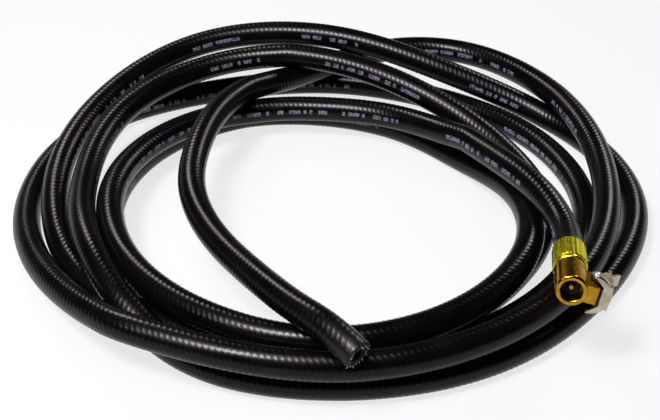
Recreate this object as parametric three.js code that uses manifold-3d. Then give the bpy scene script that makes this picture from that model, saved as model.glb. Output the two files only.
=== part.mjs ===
// A quarter-inch air hose lying in a loose coil. One end is cut square, ready to be pushed on a barb.
// The other end is crimped to a lock-on tyre chuck: a brass barrel with a sprung clip on its side.
// Millimetres, +Z up. The origin is on the surface the hose lies on, under the middle of the coil.
import * as THREE from 'three';
import { mergeVertices } from 'three/addons/utils/BufferGeometryUtils.js';
import Module from 'manifold-3d';

const wasm = await Module();
wasm.setup();

// ---------------------------------------------------------------- driving dimensions
const GAP = 0.3;                      // left between any two touching pieces
const ROUND = 60;                     // sides of a round brass piece

// radii of the hose's layers, the braid's wall, and how much the cover is squeezed inside the ferrule
const HOSE = { cover: 6.35, braid: 4.65, liner: 4, bore: 3.2, wall: 0.35, squeeze: 0.5, sides: 10 };
const CUT_LENGTH = 18;                // the hollow stretch modelled at the cut end

const COIL = { inner: 66, shelf: 108, crest: 118, outer: 150.5, squash: 0.92, shelfTop: 18, crestTop: 21 };

const FERRULE = {
  radius: 7.15, length: 16.5, flutes: 22, fluteDepth: 0.28, stepsPerFlute: 6, socket: 6.15, lip: 1.1, neck: 4.9,
};
const COLLAR = { radius: 6.8, length: 2.4, edge: 0.8 };
const STEM = { radius: 3, bore: 2.1, barb: 0.35, barbs: 3, start: 0.8, neck: 4.6, stub: 4.3, stubLength: 3.8 };
const BODY = { radius: 6.5, length: 19, chamber: 4.65, web: 1.1, webHole: 1.9, mouth: 4.2, mouthDepth: 7.4 };
const LUG = { half: 3.6, out: 11.3, root: 4, back: 4.5, front: 0.9, slotBack: 0.6, slotLength: 3.2 };
const GASKET = { radius: 3.9, hole: 1.75, length: 1.6 };
const POPPET = { disc: 3.4, thickness: 1.1, pin: 1.2, tip: 3.9, seal: 3.3, sealHole: 1.55, sealThickness: 0.9 };
const PIVOT = { x: 9.3, fromMouth: 10.5, radius: 1.1, fit: 0.06, head: 1.75, headLength: 0.9 };
const CLIP = { inner: 4.1, sheet: 0.9, back: 15.3, rear: 7, front: 1.2, tongueHalf: 2.2, tongueTip: 3.75, tab: 4.8 };
const HOOD = { centre: 7.6, radius: 8.3, rim: 2.6, edge: 0.7 };
const POPPET_SPRING = { radius: 2.7, turns: 3.5, wire: 0.3 };
const LEVER_SPRING = { radius: 1.75, turns: 4.5, wire: 0.35, pocket: 2.4, pocketFloor: 6.1, fromBody: 2.6 };

// places along the chuck's own axis, counted from the end where the hose goes in
const collarStart = FERRULE.length + GAP;
const bodyStart = collarStart + COLLAR.length + GAP;
const mouth = bodyStart + BODY.length;
const bore = mouth - BODY.mouthDepth;
const chamberEnd = bore - BODY.web;
const sealStart = chamberEnd - GAP - POPPET.sealThickness;
const discStart = sealStart - GAP - POPPET.thickness;
const stubEnd = collarStart + COLLAR.length + STEM.stubLength;
const pivotZ = mouth - PIVOT.fromMouth;
const tongueZ = bore + GASKET.length + 3 * GAP;
const leverSpringZ = bodyStart + LEVER_SPRING.fromBody;

// where the chuck sits: the middle of its hose end, and the way its mouth points
const CHUCK = { place: new THREE.Vector3(99.4, -70.1, 31), yaw: -99.4, rise: 13, roll: -10 };

// The hose where it isn't coiled, by hand: up over the coil to the chuck, and across to the cut end.
const CHUCK_RUN = [
  [66.4, 28.3, 25.3], [70.2, 21.6, 26.2], [73.8, 15, 27.1], [77.4, 8.4, 27.9], [81, 2, 28.5], [85.3, -5.5, 29],
  [89.4, -13, 29.2], [93, -20.7, 29.2], [96.1, -28.5, 28.9], [98.5, -36, 28.4], [100.1, -43.5, 28.1],
  [100.9, -50.5, 28.3], [100.9, -57.5, 29],
];
const CUT_RUN = [
  [-40, 78, 25], [-46.5, 67.5, 27], [-55.2, 47, 29.8], [-60.8, 26.5, 30], [-63.5, 7, 28.5], [-63.4, -11, 27],
  [-59.8, -28, 25.8], [-53.2, -44.5, 25.2], [-44.5, -60.5, 25.5], [-34.3, -76.5, 27], [-23.3, -93, 29.3],
  [-12.5, -107.5, 31.4], [-3.2, -118, 32.5], [4, -125.8, 31.6],
];
const CUT_END = new THREE.Vector3(10.5, -133, 29.8);

// ---------------------------------------------------------------- materials
const finish = (color, roughness, metalness) => new THREE.MeshStandardMaterial({ color, roughness, metalness });
const RUBBER = finish(0x17151a, 0.5, 0);
const LINER = finish(0x0c0c0e, 0.65, 0);
const THREADS = finish(0x8c8a88, 0.9, 0);
const SEAL = finish(0x101010, 0.7, 0);
const BRASS = finish(0xb08a28, 0.3, 1);
const NICKEL = finish(0xb9b7a6, 0.25, 1);
const STEEL = finish(0x9a9a98, 0.35, 1);

// ---------------------------------------------------------------- solids
// A closed mesh as a solid that can be joined and cut.
function solid(geometry) {
  const bare = geometry.index ? geometry.toNonIndexed() : geometry.clone();
  bare.deleteAttribute('normal');
  bare.deleteAttribute('uv');
  const merged = mergeVertices(bare, 1e-4);
  return new wasm.Manifold(new wasm.Mesh({
    numProp: 3,
    vertProperties: new Float32Array(merged.attributes.position.array),
    triVerts: new Uint32Array(merged.index.array),
  }));
}

// A solid back as a three.js geometry.
function geometryOf(body) {
  const mesh = body.getMesh();
  const geometry = new THREE.BufferGeometry();
  geometry.setAttribute('position', new THREE.BufferAttribute(new Float32Array(mesh.vertProperties), 3));
  geometry.setIndex(new THREE.BufferAttribute(new Uint32Array(mesh.triVerts), 1));
  geometry.computeVertexNormals();
  return geometry;
}

// A turned piece about +Z. Each outline point is [radius, z], going up the outside.
function turned(outline, sides = ROUND) {
  const points = outline.map(([radius, z]) => new THREE.Vector2(radius, z));
  return new THREE.LatheGeometry(points, sides).rotateX(Math.PI / 2);
}

// A straight ring or tube from z0 to z1.
function ring(outer, inner, z0, z1, sides = ROUND) {
  return turned([[inner, z0], [outer, z0], [outer, z1], [inner, z1], [inner, z0]], sides);
}

// A round bar from z0 to z1.
function bar(radius, z0, z1, sides = ROUND) {
  return turned([[0, z0], [radius, z0], [radius, z1], [0, z1]], sides);
}

function block(x0, x1, y0, y1, z0, z1) {
  const box = new THREE.BoxGeometry(x1 - x0, y1 - y0, z1 - z0);
  return box.translate((x0 + x1) / 2, (y0 + y1) / 2, (z0 + z1) / 2);
}

// An outline in X and Z, given as [x, z], with its thickness spread evenly about Y = 0.
function slab(outline, width) {
  const shape = new THREE.Shape(outline.map(([x, z]) => new THREE.Vector2(x, z)));
  const geometry = new THREE.ExtrudeGeometry(shape, { depth: width, bevelEnabled: false });
  return geometry.rotateX(Math.PI / 2).translate(0, width / 2, 0);
}

function circle(radius, sides) {
  const points = Array.from({ length: sides }, (_, i) => {
    const angle = (2 * Math.PI * i) / sides;
    return new THREE.Vector2(radius * Math.cos(angle), radius * Math.sin(angle));
  });
  return new THREE.Shape(points);
}

// A plain round tube along a curve.
function sweep(curve, radius, sides, steps) {
  return new THREE.ExtrudeGeometry(circle(radius, sides), { extrudePath: curve, steps, bevelEnabled: false });
}

class Helix extends THREE.Curve {
  constructor(radius, length, turns) {
    super();
    Object.assign(this, { radius, length, turns });
  }

  getPoint(t, target = new THREE.Vector3()) {
    const angle = 2 * Math.PI * this.turns * t;
    return target.set(this.radius * Math.cos(angle), this.radius * Math.sin(angle), this.length * t);
  }
}

// A coil spring of round wire standing on z = 0; its wire fills the height given.
function coilSpring(radius, height, turns, wire) {
  const helix = new Helix(radius, height - 2 * wire, turns);
  return sweep(helix, wire, 8, Math.round(turns * 14)).translate(0, 0, wire);
}

// ---------------------------------------------------------------- the hose
function coilRing() {
  const { inner, shelf, crest, outer, shelfTop, crestTop, squash } = COIL;
  const outline = [
    [inner, 0], [outer - 3, 0], [outer, 3], [outer, 12], [outer - 12, crestTop], [crest, crestTop],
    [shelf, shelfTop], [inner + 6, shelfTop], [inner, 12], [inner, 0],
  ];
  return turned(outline, 72).scale(1, squash, 1);
}

// The last two points of a run that ends square, a given distance short of a face.
function straightEnd(face, axis, short, straight = 5) {
  return [short + straight, short].map((back) => face.clone().addScaledVector(axis, -back).toArray());
}

const curveThrough = (points) => new THREE.CatmullRomCurve3(points.map((point) => new THREE.Vector3(...point)));

const chuckAxes = (() => {
  const yaw = THREE.MathUtils.degToRad(CHUCK.yaw);
  const rise = THREE.MathUtils.degToRad(CHUCK.rise);
  const out = new THREE.Vector3(Math.cos(yaw) * Math.cos(rise), Math.sin(yaw) * Math.cos(rise), Math.sin(rise));
  const side = new THREE.Vector3(-Math.sin(yaw), Math.cos(yaw), 0);
  const up = new THREE.Vector3().crossVectors(out, side);
  return new THREE.Matrix4().makeBasis(side, up, out)
    .multiply(new THREE.Matrix4().makeRotationZ(THREE.MathUtils.degToRad(CHUCK.roll)));
})();

// A straight piece that ends at the given face and runs back from it, with its axis on +Z.
function placeAtCutEnd(mesh, axis) {
  mesh.quaternion.setFromUnitVectors(new THREE.Vector3(0, 0, 1), axis);
  mesh.position.copy(CUT_END).addScaledVector(axis, -CUT_LENGTH);
}

function hoseLayers(prefix, z0, z1, cover = HOSE.cover) {
  const braidInner = HOSE.braid - HOSE.wall;
  return [
    [`${prefix}_cover`, ring(cover, HOSE.braid + GAP, z0, z1, 32), RUBBER],
    [`${prefix}_braid`, ring(HOSE.braid, braidInner, z0, z1, 32), THREADS],
    [`${prefix}_liner`, ring(HOSE.liner, HOSE.bore, z0, z1, 32), LINER],
  ];
}

// ---------------------------------------------------------------- the chuck, in its own frame
// Crimped brass sleeve: fluted outside, with a lip at the front that grips the stem's groove.
function ferrule() {
  const { radius, length, flutes, fluteDepth, stepsPerFlute, socket, lip, neck } = FERRULE;
  const outline = Array.from({ length: flutes * stepsPerFlute }, (_, i) => {
    const angle = (2 * Math.PI * i) / (flutes * stepsPerFlute);
    const r = radius - (fluteDepth * (1 - Math.cos(flutes * angle))) / 2;
    return new THREE.Vector2(r * Math.cos(angle), r * Math.sin(angle));
  });
  const sleeve = new THREE.ExtrudeGeometry(new THREE.Shape(outline), { depth: length, bevelEnabled: false });
  return geometryOf(solid(sleeve)
    .subtract(solid(bar(socket, -1, length - lip)))
    .subtract(solid(bar(neck, length - lip - 1, length + 1))));
}

// Hollow stem: barbs inside the hose, the bright collar, and the stub screwed into the body.
function stem() {
  const { radius, bore: hole, barb, barbs, start, neck, stub } = STEM;
  const pitch = (FERRULE.length - FERRULE.lip - start - 1) / barbs;
  const outline = [[hole, start], [radius - 2 * barb, start]];
  for (let i = 0; i < barbs; i += 1) {
    const z = start + pitch * i;
    outline.push([radius - barb, z + 0.3], [radius, z + pitch * 0.8], [radius - barb, z + pitch * 0.85]);
  }
  const grooveZ = FERRULE.length - FERRULE.lip - 0.6;
  const collarEnd = collarStart + COLLAR.length;
  outline.push([radius, grooveZ], [neck, grooveZ + 0.3], [neck, collarStart]);
  for (let step = 0; step <= 8; step += 1) {
    const angle = (Math.PI * step) / 8;
    outline.push([
      COLLAR.radius - COLLAR.edge * (1 - Math.sin(angle)),
      (collarStart + collarEnd - COLLAR.length * Math.cos(angle)) / 2,
    ]);
  }
  outline.push([stub, collarEnd], [stub, stubEnd], [hole, stubEnd], [hole, start]);
  return turned(outline);
}

// The barrel: chamber from the back, web with the air hole, a round-lipped mouth, and the lug for the clip.
function body() {
  const { radius, chamber, webHole, mouth: mouthRadius } = BODY;
  const shell = turned([
    [0, bodyStart], [radius - 0.6, bodyStart], [radius, bodyStart + 0.6], [radius, mouth - 1.1],
    [radius - 0.15, mouth - 0.5], [radius - 0.5, mouth - 0.15], [radius - 1, mouth], [0, mouth],
  ]);
  const lip = turned([
    [0, mouth - 0.9], [mouthRadius, mouth - 0.9], [mouthRadius + 0.1, mouth - 0.45],
    [mouthRadius + 0.4, mouth - 0.12], [mouthRadius + 0.8, mouth + 0.05], [0, mouth + 0.05],
  ]);
  const back = pivotZ - LUG.back;
  const front = mouth - LUG.front;
  const lug = slab([
    [LUG.root, back], [LUG.out - 2, back], [LUG.out, back + 2], [LUG.out, front - 1.6],
    [LUG.out - 1, front], [LUG.root, front],
  ], 2 * LUG.half);
  const slotHalf = CLIP.tongueHalf + GAP;
  const slotStart = tongueZ - LUG.slotBack;
  const { pocket, pocketFloor } = LEVER_SPRING;
  const cutters = [
    bar(chamber, bodyStart - 1, chamberEnd),
    bar(webHole, chamberEnd - 1, bore + 1, 24),
    bar(mouthRadius, bore, mouth + 1),
    lip,
    block(2, LUG.out + 1, -slotHalf, slotHalf, slotStart, slotStart + LUG.slotLength),
    pinHole(PIVOT.radius + PIVOT.fit),
    bar(pocket, pocketFloor, LUG.out, 24).rotateY(Math.PI / 2).translate(0, 0, leverSpringZ),
  ];
  return geometryOf(cutters.reduce((part, cutter) => part.subtract(solid(cutter)), solid(shell).add(solid(lug))));
}

// A round bar through the clip and lug, along Y at the pivot.
function pinHole(radius, half = 10) {
  return bar(radius, -half, half, 24).rotateX(Math.PI / 2).translate(PIVOT.x, 0, pivotZ);
}

function pivotPin() {
  const { radius, head, headLength } = PIVOT;
  const reach = CLIP.inner + CLIP.sheet + 0.2;
  const rivet = (sign) => turned([
    [0, reach], [head, reach], [head * 0.8, reach + headLength * 0.7], [0, reach + headLength],
  ], 24).rotateX(sign * Math.PI / 2).translate(PIVOT.x, 0, pivotZ);
  return geometryOf(solid(pinHole(radius, reach + 0.1)).add(solid(rivet(1))).add(solid(rivet(-1))));
}

// The half-round hood on the clip's front: a plate across the front with a rim turned back.
function hood(front) {
  const { centre, radius, rim, edge } = HOOD;
  const { sheet, inner } = CLIP;
  const cup = turned([
    [0, front - sheet], [radius - sheet, front - sheet], [radius - sheet, front - rim], [radius, front - rim],
    [radius, front - edge], [radius - edge * 0.3, front - edge * 0.3], [radius - edge, front], [0, front],
  ]).translate(centre, 0, 0);
  const inside = LUG.out + GAP;
  const opening = new THREE.Shape([
    [-3, -radius - 1], [centre - 0.4, -radius - 1], [centre + 0.2, -radius + 0.8], [inside, -inner], [inside, inner],
    [centre + 0.2, radius - 0.8], [centre - 0.4, radius + 1], [-3, radius + 1],
  ].map(([x, y]) => new THREE.Vector2(x, y)));
  const cutter = new THREE.ExtrudeGeometry(opening, { depth: rim + 2, bevelEnabled: false });
  return solid(cup).subtract(solid(cutter.translate(0, 0, front - rim - 1)));
}

// Stamped sheet clip: a channel over the lug, a hood in front, a flared thumb tab and a tongue into the mouth.
function clip() {
  const { inner, sheet, back, rear, front, tongueHalf, tongueTip, tab } = CLIP;
  const z0 = pivotZ - rear;
  const z1 = mouth - front;
  const outline = [
    [back, z0 + 0.5], [back, z1 - 0.2], [LUG.out + GAP, z1 - 0.2], [PIVOT.x - 1.2, pivotZ + 3.4],
    [PIVOT.x - 2.2, pivotZ + 1.2], [PIVOT.x - 2.2, pivotZ - 1.2], [PIVOT.x - 1.2, pivotZ - 2.4],
    [PIVOT.x + 2, pivotZ - 3.2], [back - sheet, z0 + 1.5],
  ];
  const hollow = block(0, back - sheet, -inner, inner, z0 - 1, z1 + 1);
  const channel = solid(slab(outline, 2 * (inner + sheet))).subtract(solid(hollow));
  const thumb = slab([
    [back - sheet, pivotZ - 1], [back - sheet, z0 + 2], [back + 0.3, z0 - 1.5], [back + 2.9, z0 - 4.6],
    [back + 4.3, z0 - 5.2], [back + 4.9, z0 - 4.6], [back + 4.5, z0 - 4.1], [back + 1.2, z0 - 0.9],
    [back, z0 + 2.2], [back, pivotZ - 1],
  ], tab);
  const tongue = block(tongueTip, back - 0.3, -tongueHalf, tongueHalf, tongueZ, tongueZ + sheet);
  return geometryOf([solid(thumb), solid(tongue), hood(z1)].reduce((part, piece) => part.add(piece), channel)
    .subtract(solid(pinHole(PIVOT.radius + PIVOT.fit))));
}

function depressor() {
  const { disc, thickness, pin, tip } = POPPET;
  const end = bore + tip;
  return turned([
    [0, discStart], [disc, discStart], [disc, discStart + thickness], [pin, discStart + thickness],
    [pin, end - 0.4], [pin - 0.4, end], [0, end],
  ], 32);
}

// ---------------------------------------------------------------- assembly
const part = new THREE.Group();

function add(parent, name, geometry, material) {
  const mesh = new THREE.Mesh(geometry, material);
  mesh.name = name;
  parent.add(mesh);
  return mesh;
}

add(part, 'hose_coil', coilRing(), RUBBER);

const stubStart = CUT_RUN[CUT_RUN.length - 1];
const cutAxis = CUT_END.clone().sub(new THREE.Vector3(...stubStart)).normalize();
const cutCurve = curveThrough([...CUT_RUN.slice(0, -2), ...straightEnd(CUT_END, cutAxis, CUT_LENGTH + GAP)]);
add(part, 'hose_cut_run', sweep(cutCurve, HOSE.cover, HOSE.sides, 20), RUBBER);
for (const [name, geometry, material] of hoseLayers('hose_cut', 0, CUT_LENGTH)) {
  placeAtCutEnd(add(part, name, geometry, material), cutAxis);
}

const chuckOut = new THREE.Vector3().setFromMatrixColumn(chuckAxes, 2);
const chuckCurve = curveThrough([...CHUCK_RUN, ...straightEnd(CHUCK.place, chuckOut, GAP)]);
add(part, 'hose_chuck_run', sweep(chuckCurve, HOSE.cover, HOSE.sides, 12), RUBBER);

const chuck = new THREE.Group();
chuck.position.copy(CHUCK.place);
chuck.setRotationFromMatrix(chuckAxes);
part.add(chuck);

const neckEnd = FERRULE.length - FERRULE.lip - 0.9;
for (const [name, geometry, material] of hoseLayers('hose_neck', GAP, neckEnd, HOSE.cover - HOSE.squeeze)) {
  add(chuck, name, geometry, material);
}
add(chuck, 'crimp_ferrule', ferrule(), BRASS);
add(chuck, 'hose_stem', stem(), BRASS);
add(chuck, 'chuck_body', body(), BRASS);
add(chuck, 'mouth_gasket', ring(GASKET.radius, GASKET.hole, bore + GAP, bore + GAP + GASKET.length), SEAL);
add(chuck, 'depressor_pin', depressor(), BRASS);
add(chuck, 'poppet_seal', ring(POPPET.seal, POPPET.sealHole, sealStart, sealStart + POPPET.sealThickness, 32), SEAL);
add(chuck, 'clip_lever', clip(), NICKEL);
add(chuck, 'pivot_pin', pivotPin(), STEEL);

const poppetRoom = discStart - stubEnd - 2 * GAP;
const poppetSpring = coilSpring(POPPET_SPRING.radius, poppetRoom, POPPET_SPRING.turns, POPPET_SPRING.wire);
add(chuck, 'poppet_spring', poppetSpring, STEEL).position.z = stubEnd + GAP;

const leverSpringBase = LEVER_SPRING.pocketFloor + GAP;
const leverRoom = CLIP.back - CLIP.sheet - GAP - leverSpringBase;
const leverSpring = coilSpring(LEVER_SPRING.radius, leverRoom, LEVER_SPRING.turns, LEVER_SPRING.wire);
const springMesh = add(chuck, 'lever_spring', leverSpring, STEEL);
springMesh.rotation.y = Math.PI / 2;
springMesh.position.set(leverSpringBase, 0, leverSpringZ);

export default part;
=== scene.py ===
"""Looks of a coiled black air hose with a brass lock-on tyre chuck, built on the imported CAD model.

Everything is in the model's frame. Tables are in millimetres, Blender objects in metres.
"""
import math

import bmesh
import bpy
import numpy as np
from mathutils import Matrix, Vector


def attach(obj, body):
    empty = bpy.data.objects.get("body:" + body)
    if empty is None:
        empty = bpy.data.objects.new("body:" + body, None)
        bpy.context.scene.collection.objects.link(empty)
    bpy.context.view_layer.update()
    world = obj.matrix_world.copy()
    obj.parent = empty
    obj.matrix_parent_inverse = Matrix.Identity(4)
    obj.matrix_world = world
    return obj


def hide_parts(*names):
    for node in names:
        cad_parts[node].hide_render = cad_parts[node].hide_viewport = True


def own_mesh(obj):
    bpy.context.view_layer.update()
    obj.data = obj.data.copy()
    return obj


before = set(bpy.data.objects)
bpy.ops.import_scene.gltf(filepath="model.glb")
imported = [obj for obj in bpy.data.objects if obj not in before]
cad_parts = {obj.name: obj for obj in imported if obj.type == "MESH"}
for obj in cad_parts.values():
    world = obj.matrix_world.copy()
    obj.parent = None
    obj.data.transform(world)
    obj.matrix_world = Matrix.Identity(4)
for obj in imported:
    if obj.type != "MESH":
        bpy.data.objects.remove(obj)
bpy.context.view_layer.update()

MM = 0.001

# ------------------------------------------------------------------ driving dimensions, millimetres
HOSE_RADIUS = 6.35
BORE_RADIUS = 3.2
BRAID_OUT = 4.9
BRAID_IN = 4.45
NECK_RADIUS = 5.85          # the hose squeezed inside the ferrule
NECK_DEPTH = 12.0           # how far it goes in
SWELL_LENGTH = 1.0          # over which it swells to full size behind the ferrule
BORE_DEPTH = 30.0           # how far the open bore is modelled
RIB_PITCH = 2.6             # along the hose
RIB_STARTS = 8              # ribs side by side in the spiral
RIB_DEPTH = 0.16
RIB_FADE = 1.5              # over which the ribs run out before the cut
RINGS_PER_RIB = 3
HOSE_SIDES = 20
CUT_BEVEL = 0.25            # the worn edge round the cut face
DUST_LENGTH = 16.0          # how far cutting dust reaches up the hose
TUFTS = 44                  # frayed threads round the cut
TUFT_SIDES = 5
TUFT_RINGS = ((0.0, 1.0), (0.55, 0.85), (1.0, 0.25))    # share of a tuft's length, and of its width there
PRINT_ANGLE = 78.0          # degrees from the top, towards the inside of the coil
PRINT_HALF_WIDTH = 0.026    # in turns of the hose
DASHES_PER_METRE = 620
WORDS_PER_METRE = 31
SPRING_STEPS = 28           # per turn of the wire
SPRING_SIDES = 10

CHUCK_PLACE = Vector((99.4, -70.1, 31.0))
CHUCK_YAW, CHUCK_RISE, CHUCK_ROLL = -99.4, 13.0, -10.0

# ------------------------------------------------------------------ the hose's route, millimetres
CHUCK_RUN = [
    (66.4, 28.3, 25.3), (70.2, 21.6, 26.2), (73.8, 15, 27.1), (77.4, 8.4, 27.9), (81, 2, 28.5),
    (85.3, -5.5, 29), (89.4, -13, 29.2), (93, -20.7, 29.2), (96.1, -28.5, 28.9), (98.5, -36, 28.4),
    (100.1, -43.5, 28.1), (100.9, -50.5, 28.3), (100.9, -57.5, 29),
]
CUT_RUN = [
    (34.5, 134, 19), (8, 121.5, 19.2), (-14.5, 105.5, 20), (-32.5, 87.5, 23), (-40, 78, 25),
    (-46.5, 67.5, 27), (-55.2, 47, 29.8), (-60.8, 26.5, 30), (-63.5, 7, 28.5), (-63.4, -11, 27),
    (-59.8, -28, 25.8), (-53.2, -44.5, 25.2), (-44.5, -60.5, 25.5), (-34.3, -76.5, 27),
    (-23.3, -93, 29.3), (-12.5, -107.5, 31.4), (-3.2, -118, 32.5), (4, -125.8, 31.6), (10.5, -133, 29.8),
]
COIL_CENTRE = (0.0, 2.0)
# Each turn of the coil, anticlockwise from +X: radius and height every 30 degrees.
TURNS = [
    [None, (69.5, 22.9), (69, 17.5), (72, 15.5), (83, 15), (92, 17),
     (100.5, 18.5), (106, 18.5), (110.5, 18.5), (115, 19), (110, 19), (100.5, 18.5)],
    [(86, 13.5), (75.5, 6.8), (75.5, 6.4), (81, 6.4), (91, 6.4), (99, 6.4),
     (103.5, 6.4), (104, 6.4), (102, 6.4), (101, 6.4), (100, 6.4), (99, 6.4)],
    [(100, 7.5), (89, 17.5), (83.5, 27.5), (93.5, 31.5), (113.5, 28), (119.5, 23),
     (114.5, 20), (117.5, 21), (124, 8), (125.5, 6.4), (129, 6.4), (134, 6.4)],
    [(144, 6.4), (139, 7.5), (117.5, 23), (121.5, 32.5), (138, 29.5), (135.5, 22),
     (129.5, 15), (123.5, 8), (113, 6.4), (113.5, 6.4), (114, 6.4), (118, 6.4)],
    [(121, 6.4), (119, 6.4), (114.5, 6.4), (117, 6.4), (124, 6.4), (141, 6.4),
     (143, 6.4), (136, 12), (129.5, 18.5), (129.2, 19.3), (128.5, 19), (128, 19)],
    [(129.5, 18.5), (139.5, 20), (148.5, 19)],
]


def add_object(name, data):
    """A new object in the scene."""
    piece = bpy.data.objects.new(name, data)
    bpy.context.scene.collection.objects.link(piece)
    return piece


# ------------------------------------------------------------------ camera, lights and floor
def make_camera():
    """The photograph's viewing angle, on a point near the middle of the coil."""
    target, distance, elevation = Vector((0, -0.010, 0.010)), 0.560, math.radians(35)
    data = bpy.data.cameras.new("camera")
    data.sensor_width = 36
    data.lens = 65.45
    camera = add_object("camera", data)
    camera.location = target + distance * Vector((0, -math.cos(elevation), math.sin(elevation)))
    camera.rotation_mode = "QUATERNION"
    camera.rotation_quaternion = (target - camera.location).to_track_quat("-Z", "Y")
    bpy.context.scene.camera = camera


def area_light(name, direction, distance, size, power, colour):
    """A soft box seen from the coil in the given direction, facing it."""
    data = bpy.data.lights.new(name, "AREA")
    data.shape = "RECTANGLE"
    data.size, data.size_y = size
    data.energy = power
    data.color = colour
    light = add_object(name, data)
    light.location = Vector(direction).normalized() * distance
    light.rotation_mode = "QUATERNION"
    light.rotation_quaternion = (-light.location).to_track_quat("-Z", "Y")


def towards(azimuth, elevation):
    """A direction by azimuth from +Y towards +X and elevation, in degrees."""
    a, e = math.radians(azimuth), math.radians(elevation)
    return math.sin(a) * math.cos(e), math.cos(a) * math.cos(e), math.sin(e)


def make_lights():
    """Five soft boxes: a key at the front left, one overhead, and three lower ones that rim the turns."""
    violet, warm = (0.87, 0.86, 1.0), (1.0, 0.97, 0.91)
    area_light("overhead", towards(-160, 80), 0.95, (0.30, 0.32), 2.2, violet)
    area_light("front_left", towards(-137, 61), 1.0, (0.27, 0.27), 17.0, violet)
    area_light("left", towards(-124, 41), 1.0, (0.16, 0.24), 1.2, warm)
    area_light("back_left", towards(-30, 42), 1.0, (0.22, 0.26), 2.6, warm)
    area_light("back_right", towards(36, 33), 1.0, (0.20, 0.26), 2.0, warm)


def make_world():
    """A dark room above a pale horizon, so that the rubber shows the lamps, the table and little else."""
    world = bpy.data.worlds.new("room")
    world.use_nodes = True
    nodes, links = world.node_tree.nodes, world.node_tree.links
    split = nodes.new("ShaderNodeSeparateXYZ")
    links.new(nodes.new("ShaderNodeTexCoord").outputs["Generated"], split.inputs[0])
    height = remap(nodes, links, split.outputs[2], 0.05, 0.20, 0, 1)
    colour = mix_colour(nodes, links, height, (0.42, 0.42, 0.42), (0.012, 0.011, 0.012))
    links.new(colour, nodes["Background"].inputs["Color"])
    bpy.context.scene.world = world
    bpy.context.scene.view_settings.view_transform = "Standard"


def make_floor():
    bpy.ops.mesh.primitive_plane_add(size=12, location=(0, 0, 0))
    floor = bpy.context.object
    floor.name = "floor"
    material, _, _, shader = principled("floor_white", (0.12, 0.12, 0.12), 0.9)
    shader.inputs["Specular IOR Level"].default_value = 0.1
    shader.inputs["Emission Color"].default_value = (1, 1, 1, 1)
    shader.inputs["Emission Strength"].default_value = 0.76
    floor.data.materials.append(material)


# ------------------------------------------------------------------ material helpers
def principled(name, colour, roughness, metallic=0.0):
    material = bpy.data.materials.new(name)
    material.use_nodes = True
    nodes, links = material.node_tree.nodes, material.node_tree.links
    shader = nodes["Principled BSDF"]
    shader.inputs["Base Color"].default_value = (*colour, 1)
    shader.inputs["Roughness"].default_value = roughness
    shader.inputs["Metallic"].default_value = metallic
    return material, nodes, links, shader


def math_node(nodes, links, operation, *values, clamp=False):
    """A Math node; each value is a number or a socket."""
    node = nodes.new("ShaderNodeMath")
    node.operation = operation
    node.use_clamp = clamp
    for socket, value in zip(node.inputs, values):
        if isinstance(value, (int, float)):
            socket.default_value = value
        else:
            links.new(value, socket)
    return node.outputs[0]


def noise(nodes, links, vector, scale, detail=2.0, roughness=0.5):
    node = nodes.new("ShaderNodeTexNoise")
    node.inputs["Scale"].default_value = scale
    node.inputs["Detail"].default_value = detail
    node.inputs["Roughness"].default_value = roughness
    links.new(vector, node.inputs["Vector"])
    return node.outputs["Fac"]


def remap(nodes, links, value, low, high, to_low, to_high):
    node = nodes.new("ShaderNodeMapRange")
    for key, number in zip(("From Min", "From Max", "To Min", "To Max"), (low, high, to_low, to_high)):
        node.inputs[key].default_value = number
    links.new(value, node.inputs["Value"])
    return node.outputs["Result"]


def mix_colour(nodes, links, factor, a, b):
    node = nodes.new("ShaderNodeMix")
    node.data_type = "RGBA"
    links.new(factor, node.inputs["Factor"])
    for socket, value in ((node.inputs[6], a), (node.inputs[7], b)):
        if isinstance(value, tuple):
            socket.default_value = (*value, 1)
        else:
            links.new(value, socket)
    return node.outputs[2]


def bump(nodes, links, height, strength, distance):
    node = nodes.new("ShaderNodeBump")
    node.inputs["Strength"].default_value = strength
    node.inputs["Distance"].default_value = distance
    links.new(height, node.inputs["Height"])
    return node.outputs["Normal"]


def object_space(nodes):
    return nodes.new("ShaderNodeTexCoord").outputs["Object"]


# ------------------------------------------------------------------ materials
def random_steps(nodes, links, along, per_metre):
    """A random number from 0 to 1 for each short stretch of the hose."""
    node = nodes.new("ShaderNodeTexWhiteNoise")
    node.noise_dimensions = "1D"
    stretch = math_node(nodes, links, "MULTIPLY", along, per_metre)
    links.new(math_node(nodes, links, "FLOOR", stretch), node.inputs["W"])
    return node.outputs["Value"]


def printed_row(nodes, links, along, around, space):
    """1 on the worn, word-like groups of printed dashes, 0 elsewhere."""
    off_row = math_node(nodes, links, "SUBTRACT", around, PRINT_ANGLE / 360)
    distance = math_node(nodes, links, "ABSOLUTE", off_row)
    in_row = math_node(nodes, links, "LESS_THAN", distance, PRINT_HALF_WIDTH)
    dash = random_steps(nodes, links, along, DASHES_PER_METRE)
    word = random_steps(nodes, links, along, WORDS_PER_METRE)
    dashes = math_node(nodes, links, "GREATER_THAN", dash, 0.33)
    words = math_node(nodes, links, "GREATER_THAN", word, 0.38)
    worn = remap(nodes, links, noise(nodes, links, space, 900, 2), 0.38, 0.62, 0.15, 1.0)
    dashes_in_row = math_node(nodes, links, "MULTIPLY", in_row, dashes)
    worn_words = math_node(nodes, links, "MULTIPLY", words, worn)
    return math_node(nodes, links, "MULTIPLY", dashes_in_row, worn_words)


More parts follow.
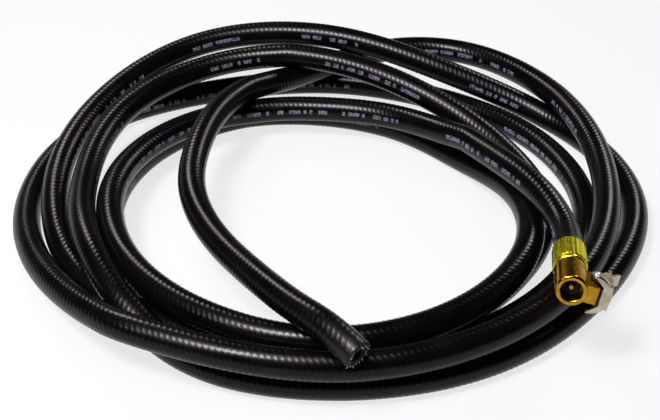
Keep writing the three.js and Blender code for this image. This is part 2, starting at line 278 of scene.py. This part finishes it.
def rubber_material(length):
    """Black hose cover: softly polished, dusty near the cut, with a row of pale printed dashes."""
    material, nodes, links, shader = principled("hose_cover_rubber", (0.008, 0.007, 0.010), 0.38)
    shader.inputs["Specular Tint"].default_value = (1.0, 0.89, 0.86, 1)
    shader.inputs["IOR"].default_value = 1.27
    uv = nodes.new("ShaderNodeUVMap")
    uv.uv_map = "hose"
    split = nodes.new("ShaderNodeSeparateXYZ")
    links.new(uv.outputs[0], split.inputs[0])
    along, around = split.outputs[0], split.outputs[1]      # metres, and turns from the top
    space = object_space(nodes)
    cloudy = noise(nodes, links, space, 60, 3)
    fine = noise(nodes, links, space, 2600, 2)
    printed = printed_row(nodes, links, along, around, space)

    near_cut = remap(nodes, links, along, (length - DUST_LENGTH) * MM, length * MM, 0.0, 1.0)
    dust = math_node(nodes, links, "MULTIPLY", near_cut, remap(nodes, links, fine, 0.35, 0.65, 0.2, 1.0))
    clean = mix_colour(nodes, links, cloudy, (0.0007, 0.0005, 0.0010), (0.0018, 0.0014, 0.0016))
    base = mix_colour(nodes, links, dust, clean, (0.009, 0.0078, 0.006))
    links.new(mix_colour(nodes, links, printed, base, (0.155, 0.143, 0.180)), shader.inputs["Base Color"])
    polish = remap(nodes, links, cloudy, 0.3, 0.7, 0.22, 0.28)
    links.new(math_node(nodes, links, "MULTIPLY_ADD", dust, 0.12, polish), shader.inputs["Roughness"])
    links.new(bump(nodes, links, fine, 0.35, 0.00003), shader.inputs["Normal"])
    return material


def cut_rubber_material(name, colour):
    """The knife-cut face: matt, torn and slightly dusty."""
    material, nodes, links, shader = principled(name, colour, 0.75)
    shader.inputs["IOR"].default_value = 1.3
    space = object_space(nodes)
    torn = noise(nodes, links, space, 1800, 4, 0.7)
    pale = tuple(c * 3.5 for c in colour)
    links.new(mix_colour(nodes, links, torn, colour, pale), shader.inputs["Base Color"])
    links.new(bump(nodes, links, torn, 0.6, 0.0002), shader.inputs["Normal"])
    return material


def thread_material():
    """Frayed grey reinforcement thread."""
    material, nodes, links, shader = principled("hose_thread", (0.3, 0.29, 0.28), 0.9)
    space = object_space(nodes)
    tufts = noise(nodes, links, space, 2500, 3)
    grey = mix_colour(nodes, links, tufts, (0.13, 0.13, 0.12), (0.62, 0.60, 0.55))
    links.new(grey, shader.inputs["Base Color"])
    links.new(bump(nodes, links, tufts, 0.8, 0.0003), shader.inputs["Normal"])
    return material


def metal_material(name, colour, dark, roughness):
    """Bright metal with fine marks, faint stains and softly varying polish."""
    material, nodes, links, shader = principled(name, colour, roughness, 1.0)
    shader.inputs["Specular Tint"].default_value = (*(0.5 + 0.5 * part for part in colour), 1)
    space = object_space(nodes)
    marks = noise(nodes, links, space, 900, 3)
    stains = noise(nodes, links, space, 210, 4, 0.6)
    tarnish = remap(nodes, links, stains, 0.35, 0.75, 0, 1)
    links.new(mix_colour(nodes, links, tarnish, colour, dark), shader.inputs["Base Color"])
    marked = remap(nodes, links, marks, 0.3, 0.7, -0.04, 0.05)
    stained = remap(nodes, links, stains, 0.4, 0.7, roughness, roughness + 0.12)
    links.new(math_node(nodes, links, "ADD", marked, stained), shader.inputs["Roughness"])
    links.new(bump(nodes, links, marks, 0.18, 0.00004), shader.inputs["Normal"])
    return material


# ------------------------------------------------------------------ the hose's centreline
def chuck_axes():
    """The chuck's own axes: X to its clip, Y up, Z out of its mouth."""
    yaw, rise, roll = (math.radians(angle) for angle in (CHUCK_YAW, CHUCK_RISE, CHUCK_ROLL))
    out = Vector((math.cos(yaw) * math.cos(rise), math.sin(yaw) * math.cos(rise), math.sin(rise)))
    side = Vector((-math.sin(yaw), math.cos(yaw), 0))
    up = out.cross(side)
    return side * math.cos(roll) + up * math.sin(roll), up * math.cos(roll) - side * math.sin(roll), out


def from_chuck(x, y, z):
    """A point in the chuck's own frame, in millimetres, as a point in the model's frame, in metres."""
    axis_x, axis_y, axis_z = chuck_axes()
    return (CHUCK_PLACE + axis_x * x + axis_y * y + axis_z * z) * MM


def route_points():
    """The whole route from the listed runs and by turn, from inside the ferrule to the cut end, in
    millimetres.
    """
    out = chuck_axes()[2]
    points = [CHUCK_PLACE + out * NECK_DEPTH, CHUCK_PLACE + out * NECK_DEPTH / 2, CHUCK_PLACE]
    points += [Vector(p) for p in reversed(CHUCK_RUN)]
    for turn in TURNS:
        for step, place in enumerate(turn):
            if place is None:
                continue
            radius, height = place
            angle = math.radians(30 * step)
            points.append(Vector((COIL_CENTRE[0] + radius * math.cos(angle),
                                  COIL_CENTRE[1] + radius * math.sin(angle), height)))
    points += [Vector(p) for p in CUT_RUN]
    return np.array([tuple(p) for p in points])


def spline(points, step):
    """A natural cubic spline through the points, as evenly spaced points about step apart."""
    chord = np.linalg.norm(np.diff(points, axis=0), axis=1) ** 0.75
    knots = np.concatenate([[0], np.cumsum(chord)])
    gap = np.diff(knots)
    count = len(points)
    matrix = np.zeros((count, count))
    right = np.zeros((count, 3))
    matrix[0, 0] = matrix[-1, -1] = 1
    slope = np.diff(points, axis=0) / gap[:, None]
    for i in range(1, count - 1):
        matrix[i, i - 1:i + 2] = gap[i - 1], 2 * (gap[i - 1] + gap[i]), gap[i]
        right[i] = 6 * (slope[i] - slope[i - 1])
    bend = np.linalg.solve(matrix, right)

    def at(t):
        i = np.clip(np.searchsorted(knots, t, side="right") - 1, 0, count - 2)
        h = gap[i][:, None]
        a = (knots[i + 1] - t)[:, None]
        b = (t - knots[i])[:, None]
        curved = (bend[i] * a ** 3 + bend[i + 1] * b ** 3) / (6 * h)
        return curved + (points[i] / h - bend[i] * h / 6) * a + (points[i + 1] / h - bend[i + 1] * h / 6) * b

    t = np.linspace(0, knots[-1], 4 * int(np.sum(np.linalg.norm(np.diff(points, axis=0), axis=1)) / step))
    fine = at(t)
    run = np.concatenate([[0], np.cumsum(np.linalg.norm(np.diff(fine, axis=0), axis=1))])
    return at(np.interp(np.linspace(0, run[-1], round(run[-1] / step) + 1), run, t))


def smoothed(shift, rounds):
    """Each inner row becomes a weighted mean of itself and its neighbours, in every round."""
    for _ in range(rounds):
        inner = 0.25 * shift[:-2] + 0.5 * shift[1:-1] + 0.25 * shift[2:]
        shift = np.concatenate([shift[:1], inner, shift[-1:]])
    return shift


def settled(line, step, rounds=80, free=8, held=12, easing=10):
    """Stretches that lie in each other are pushed apart until they rest on each other and on the floor.

    The last free rounds go without smoothing. The first held points belong to the chuck and stay.
    """
    diameter = 2 * HOSE_RADIUS
    index = np.arange(len(line))
    apart = np.abs(index[:, None] - index[None, :]) > 2 * diameter / step
    loose = np.clip((index - held) / easing, 0, 1)[:, None]
    shift = np.zeros_like(line)
    for turn in range(rounds):
        now = line + shift
        between = now[:, None, :] - now[None, :, :]
        far = np.sqrt((between ** 2).sum(-1))
        depth = np.where(apart, np.maximum(diameter - far, 0), 0)
        worst = depth.argmax(1)
        deepest = depth[index, worst]
        away = between[index, worst] / np.maximum(far[index, worst], 1e-6)[:, None]
        push = 0.5 * deepest[:, None] * away
        push[:, 2] += np.maximum(HOSE_RADIUS - now[:, 2], 0)
        shift = shift + 0.9 * push * loose
        if turn < rounds - free:
            shift = smoothed(shift, 2)
    now = line + shift
    now[:, 2] = np.maximum(now[:, 2], HOSE_RADIUS)
    return now


# ------------------------------------------------------------------ mesh helpers
def new_object(name, vertices, faces, material):
    mesh = bpy.data.meshes.new(name)
    mesh.from_pydata([tuple(v) for v in vertices], [], faces)
    mesh.materials.append(material)
    piece = add_object(name, mesh)
    finish_mesh(piece, smooth_angle=60)
    return piece


def rod_faces(first, rings, sides):
    """The faces of a closed rod whose rings of points start at index first."""
    faces = []
    for row in range(rings - 1):
        for side in range(sides):
            a = first + row * sides + side
            b = first + row * sides + (side + 1) % sides
            faces.append((a, b, b + sides, a + sides))
    last = first + (rings - 1) * sides
    return faces + [tuple(range(first, first + sides)), tuple(range(last, last + sides))]


def finish_mesh(piece, smooth_angle, weld=1e-7):
    """Welded points, outward faces, and smooth shading that keeps real edges."""
    work = bmesh.new()
    work.from_mesh(piece.data)
    bmesh.ops.remove_doubles(work, verts=work.verts, dist=weld)
    bmesh.ops.recalc_face_normals(work, faces=work.faces)
    work.to_mesh(piece.data)
    work.free()
    piece.data.shade_smooth()
    piece.data.set_sharp_from_angle(angle=math.radians(smooth_angle))


def give(piece, body, slot, *nodes):
    """Hangs a piece on the body it rides on and hides the CAD nodes it stands for."""
    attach(piece, body)
    if nodes:
        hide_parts(*nodes)
    return piece


# ------------------------------------------------------------------ the hose
def hose_frames(line):
    """At each point: the way along the hose, to its top, and to the inside of the coil."""
    tangent = np.gradient(line, axis=0)
    tangent /= np.linalg.norm(tangent, axis=1)[:, None]
    inside = np.cross([0, 0, 1], tangent)
    inside /= np.linalg.norm(inside, axis=1)[:, None]
    top = np.cross(tangent, inside)
    return tangent, top, inside


def tube_points(line, run, place, turn, radius):
    """Points around the centreline, in metres: place along it in millimetres, turn from the top."""
    tangent, top, inside = hose_frames(line)

    def at(vectors):
        return np.stack([np.interp(place, run, vectors[:, axis]) for axis in range(3)], axis=-1)

    past_end = (place - np.clip(place, 0, run[-1]))[..., None]
    angle = 2 * math.pi * turn[..., None]
    around = np.cos(angle) * at(top) + np.sin(angle) * at(inside)
    return (at(line) + at(tangent) * past_end + radius[..., None] * around) * MM


def ribbed_cover(length):
    """Place, turn and radius of points in slanting rows that follow the spiral ribs, neck to cut."""
    step = RIB_PITCH / RINGS_PER_RIB
    lead = RIB_PITCH * RIB_STARTS
    rows = np.arange(math.ceil((length + lead) / step) + 1)[:, None]
    turn = np.linspace(0, 1, HOSE_SIDES + 1)[None, :] + 0.0 * rows
    place = np.clip(rows * step - turn * lead, 0, length)
    swell = np.clip((place - NECK_DEPTH) / SWELL_LENGTH, 0, 1)
    fade = swell * np.clip((length - place) / RIB_FADE, 0, 1)
    crest = np.abs(np.sin(math.pi * rows / RINGS_PER_RIB))
    radius = NECK_RADIUS + (HOSE_RADIUS - NECK_RADIUS) * swell - RIB_DEPTH * (1 - crest) * fade
    return place, turn, radius


def end_rings(rings):
    """Straight rings given as (place, radius)."""
    turn = np.linspace(0, 1, HOSE_SIDES + 1)[None, :] + np.zeros((len(rings), 1))
    place = np.array([ring[0] for ring in rings])[:, None] + 0.0 * turn
    radius = np.array([ring[1] for ring in rings])[:, None] + 0.0 * turn
    return place, turn, radius


COVER, CUT_FACE, BRAID, LINING = range(4)       # the hose mesh's material slots


def hose_bands(length):
    """Each material's rows of points: cover, cut face, thread layer and liner with the open bore."""
    edge = length - CUT_BEVEL
    bore = [(length - depth, BORE_RADIUS) for depth in np.arange(2.0, BORE_DEPTH + 1, 2.0)]
    neck = end_rings([(0.0, 0.0), (0.0, NECK_RADIUS - 0.4), (0.0, NECK_RADIUS)])
    face = end_rings([(edge, HOSE_RADIUS), (length - 0.05, HOSE_RADIUS - 0.12),
                      (length, HOSE_RADIUS - 0.3), (length + 0.05, BRAID_OUT)])
    groove = (length - 0.35, (BRAID_OUT + BRAID_IN) / 2)
    thread = end_rings([(length + 0.05, BRAID_OUT), groove, (length, BRAID_IN)])
    liner = end_rings([(length, BRAID_IN), (length - 0.05, BORE_RADIUS + 0.25), (length - 0.35, BORE_RADIUS)]
                      + bore + [(length - BORE_DEPTH, 0.0)])
    return [(neck, COVER), (ribbed_cover(edge), COVER), (face, CUT_FACE), (thread, BRAID), (liner, LINING)]


def hose_mesh(line, run):
    """One welded tube out of the bands, with UVs in metres along and turns around."""
    vertices, faces, zones, spots = [], [], [], []
    wide = HOSE_SIDES + 1
    for (place, turn, radius), zone in hose_bands(run[-1]):
        first = len(spots)
        vertices.extend(tube_points(line, run, place, turn, radius).reshape(-1, 3).tolist())
        spots.extend(zip((place * MM).ravel().tolist(), turn.ravel().tolist()))
        for row in range(len(place) - 1):
            for side in range(HOSE_SIDES):
                a = first + row * wide + side
                faces.append((a, a + wide, a + wide + 1, a + 1))
                zones.append(zone)
    mesh = bpy.data.meshes.new("hose")
    mesh.from_pydata(vertices, [], faces)
    mesh.polygons.foreach_set("material_index", zones)
    uv = mesh.uv_layers.new(name="hose").data
    corners = np.zeros(len(mesh.loops), dtype=np.int32)
    mesh.loops.foreach_get("vertex_index", corners)
    uv.foreach_set("uv", np.array(spots, dtype=np.float32)[corners].ravel())
    return mesh


def make_hose():
    """The whole hose as one tube: neck, ribbed cover, cut face in three layers, and the open bore."""
    rough_step, fine_step = 4.0, 2.0
    line = spline(settled(spline(route_points(), rough_step), rough_step), fine_step)
    run = np.concatenate([[0], np.cumsum(np.linalg.norm(np.diff(line, axis=0), axis=1))])
    mesh = hose_mesh(line, run)
    cut = cut_rubber_material("hose_cut_face", (0.0022, 0.002, 0.0022))
    braid = cut_rubber_material("hose_braid", (0.006, 0.006, 0.0055))
    lining = cut_rubber_material("hose_liner_rubber", (0.0014, 0.0013, 0.0014))
    for material in (rubber_material(run[-1]), cut, braid, lining):     # in the order of COVER to LINING
        mesh.materials.append(material)
    hose = add_object("hose", mesh)
    finish_mesh(hose, smooth_angle=50, weld=2e-6)
    give(hose, "hose", "hose_rubber", "hose_coil", "hose_cut_run", "hose_chuck_run", "hose_cut_cover",
         "hose_cut_braid", "hose_cut_liner", "hose_neck_cover", "hose_neck_braid", "hose_neck_liner")
    return line


# ------------------------------------------------------------------ frayed threads at the cut
def thread_points(rng, frame_at_cut, turn):
    """Three shrinking rings of points along one tuft, which leans out of the braid and droops."""
    end, tangent, top, inside = frame_at_cut
    angle = turn + rng.normal(0, 0.05)
    outward = math.cos(angle) * top + math.sin(angle) * inside
    radius = rng.uniform(BRAID_IN - 0.1, BRAID_OUT + 0.35)
    length = rng.uniform(0.5, 1.7)
    lean = rng.normal(0, 0.8, 2) + np.array([0.6, 0])
    sideways = np.cross(tangent, outward)
    way = tangent * 0.75 + outward * lean[0] + sideways * lean[1]
    way /= np.linalg.norm(way)
    across = np.cross(way, outward)
    across /= np.linalg.norm(across)
    other = np.cross(way, across)
    width = rng.uniform(0.10, 0.21)
    points = []
    for step, share in TUFT_RINGS:
        droop = np.array([0, 0, -0.35 * length * step * step])
        centre = end - tangent * 0.3 + outward * radius + way * (length * step) + droop
        for corner in range(TUFT_SIDES):
            swing = 2 * math.pi * corner / TUFT_SIDES
            spoke = math.cos(swing) * across + math.sin(swing) * other
            points.append((centre + width * share * spoke) * MM)
    return points


def make_frayed_threads(line):
    """Tufts of reinforcement thread that stand out of the braid at the cut face."""
    rng = np.random.default_rng(7)
    frame_at_cut = (line[-1], *(vectors[-1] for vectors in hose_frames(line)))
    vertices, faces = [], []
    for turn in np.linspace(0, 2 * math.pi, TUFTS, endpoint=False):
        faces += rod_faces(len(vertices), len(TUFT_RINGS), TUFT_SIDES)
        vertices += thread_points(rng, frame_at_cut, turn)
    tufts = new_object("frayed_threads", vertices, faces, thread_material())
    return give(tufts, "hose", "hose_threads")


# ------------------------------------------------------------------ the chuck
def refined(name, node, material, body, slot, bevel, sharp=32, crease=75):
    """A CAD piece's own shape, with its facets joined, its edges rounded and its surface shaded smooth."""
    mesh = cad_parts[node].data.copy()
    mesh.name = name
    work = bmesh.new()
    work.from_mesh(mesh)
    bmesh.ops.remove_doubles(work, verts=work.verts, dist=2e-6)
    bmesh.ops.dissolve_limit(work, angle_limit=math.radians(1), verts=work.verts, edges=work.edges)
    bmesh.ops.recalc_face_normals(work, faces=work.faces)
    work.to_mesh(mesh)
    work.free()
    mesh.materials.clear()
    mesh.materials.append(material)
    mesh.shade_smooth()
    mesh.set_sharp_from_angle(angle=math.radians(crease))
    piece = add_object(name, mesh)
    rounding = piece.modifiers.new("rounded_edges", "BEVEL")
    rounding.width = bevel * MM
    rounding.segments = 2
    rounding.limit_method = "ANGLE"
    rounding.angle_limit = math.radians(sharp)
    piece.modifiers.new("flat_faces_kept", "WEIGHTED_NORMAL").keep_sharp = True
    return give(piece, body, slot, node)


def coil_spring(name, node, material, start, way, radius, length, turns, wire):
    """A wound wire spring, closer wound at its ends, from start along way, in the chuck's frame."""
    steps, sides = int(turns * SPRING_STEPS), SPRING_SIDES
    way = Vector(way)
    across = Vector((0, 1, 0))
    other = way.cross(across)
    vertices = []
    for step in range(steps + 1):
        share = step / steps
        swing = 2 * math.pi * turns * share
        rise = wire + (length - 2 * wire) * (share * share * (3 - 2 * share) * 0.35 + share * 0.65)
        outward = across * math.cos(swing) + other * math.sin(swing)
        centre = Vector(start) + way * rise + outward * radius
        for side in range(sides):
            around = 2 * math.pi * side / sides
            corner = centre + (outward * math.cos(around) + way * math.sin(around)) * wire
            vertices.append(from_chuck(*corner))
    spring = new_object(name, vertices, rod_faces(0, steps + 1, sides), material)
    return give(spring, "hose", "spring_steel", node)


def make_springs(steel):
    """The clip's and the valve's springs, each with its own copy of its mesh."""
    pocket, seat = (6.4, 0, 22.1), (0, 0, 23.3)
    clip_spring = coil_spring("clip_spring", "lever_spring", steel, pocket, (1, 0, 0),
                              radius=1.75, length=7.7, turns=4.5, wire=0.35)
    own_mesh(clip_spring)
    valve_spring = coil_spring("valve_spring", "poppet_spring", steel, seat, (0, 0, 1),
                               radius=2.7, length=3.8, turns=3.5, wire=0.3)
    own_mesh(valve_spring)


def make_chuck():
    """The chuck's metal pieces from the CAD, its two rubber rings and its springs."""
    ferrule_brass = metal_material("ferrule_brass", (0.78, 0.68, 0.045), (0.66, 0.54, 0.030), 0.20)
    barrel_brass = metal_material("barrel_brass", (0.46, 0.26, 0.020), (0.26, 0.12, 0.010), 0.13)
    nickel = metal_material("clip_nickel", (0.52, 0.49, 0.38), (0.32, 0.28, 0.20), 0.18)
    steel = metal_material("bright_steel", (0.62, 0.61, 0.58), (0.40, 0.38, 0.35), 0.25)
    seal_rubber = cut_rubber_material("seal_rubber", (0.010, 0.010, 0.010))
    refined("ferrule", "crimp_ferrule", ferrule_brass, "hose", "ferrule_brass",
            bevel=0.16, sharp=50, crease=20)
    refined("stem_and_collar", "hose_stem", ferrule_brass, "hose", "ferrule_brass", bevel=0.08)
    refined("barrel", "chuck_body", barrel_brass, "hose", "body_brass", bevel=0.22)
    refined("valve_pin", "depressor_pin", barrel_brass, "depressor", "body_brass", bevel=0.1)
    refined("clip", "clip_lever", nickel, "clip", "clip_nickel", bevel=0.2)
    refined("clip_rivet", "pivot_pin", steel, "hose", "pin_steel", bevel=0.1)
    for node in ("mouth_gasket", "poppet_seal"):
        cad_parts[node].material_slots[0].material = seal_rubber
    make_springs(steel)


make_camera()
centreline = make_hose()
make_frayed_threads(centreline)
make_chuck()
make_world()
make_lights()
make_floor()
